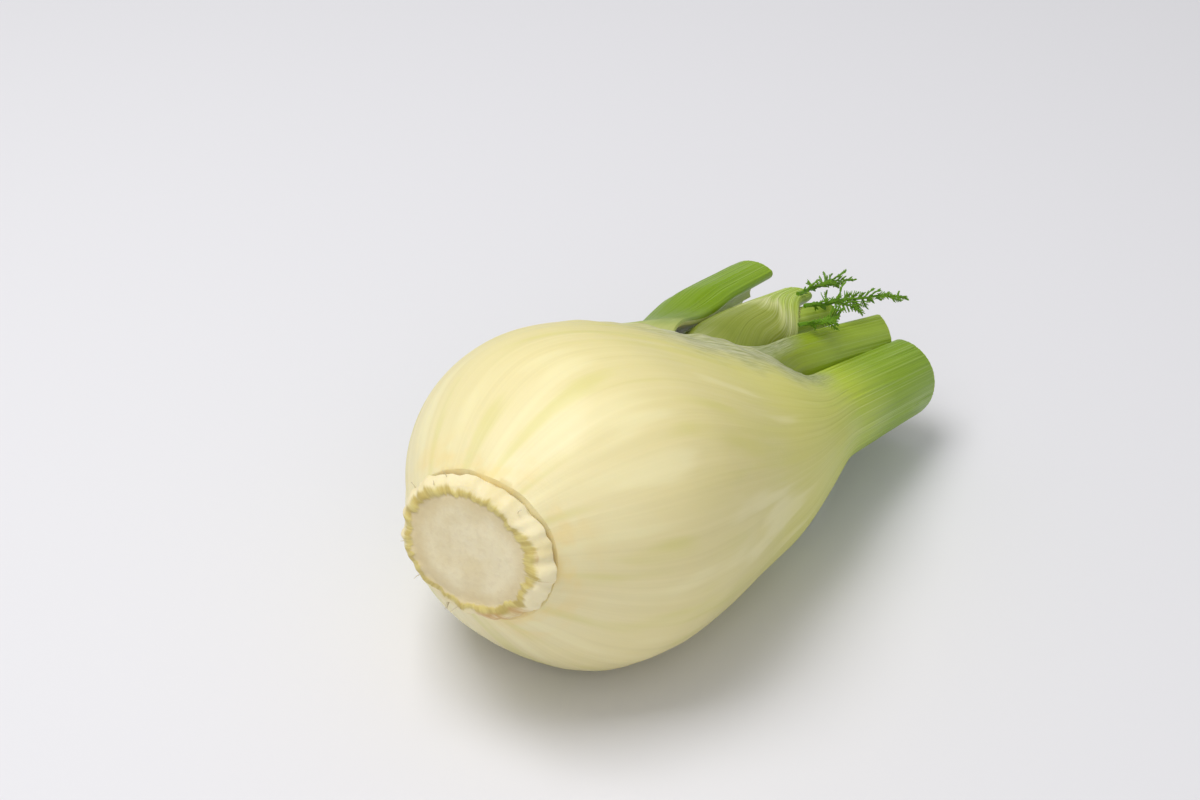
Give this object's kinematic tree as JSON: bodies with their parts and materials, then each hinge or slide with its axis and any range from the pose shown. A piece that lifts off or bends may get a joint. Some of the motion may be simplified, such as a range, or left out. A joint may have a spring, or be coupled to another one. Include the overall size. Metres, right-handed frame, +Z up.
{
  "type": "fennel bulb",
  "caption": "Whole fennel bulb lying on its side: a trimmed root, overlapping pale leaf sheaths that draw together into green stalks cut short, and feathery young fronds at the heart",
  "frame": {"origin": "Centre of the bounding box's base, on the surface that the bulb lies on", "axes": "+X runs from the cut root to the stalk ends, +Y towards the far leaf, +Z up"},
  "size_m": [0.1818, 0.0886, 0.0819],
  "materials": {
    "pale_leaf": "waxy cream and pale green leaf skin, veined along its length",
    "green_stalk": "smooth ribbed green stalk skin with a satin sheen",
    "root": "cut root face, damp and fibrous, with a tan ring",
    "frond": "soft deep green threads"
  },
  "bodies": {
    "root": {"outer_leaf": "pale_leaf", "far_leaf": "pale_leaf", "near_leaf": "green_stalk", "inner_leaf": "green_stalk", "heart_leaf": "green_stalk", "root_crown": "root", "frond_long": "frond", "frond_short": "frond", "frond_low": "frond"}
  },
  "joints": []
}
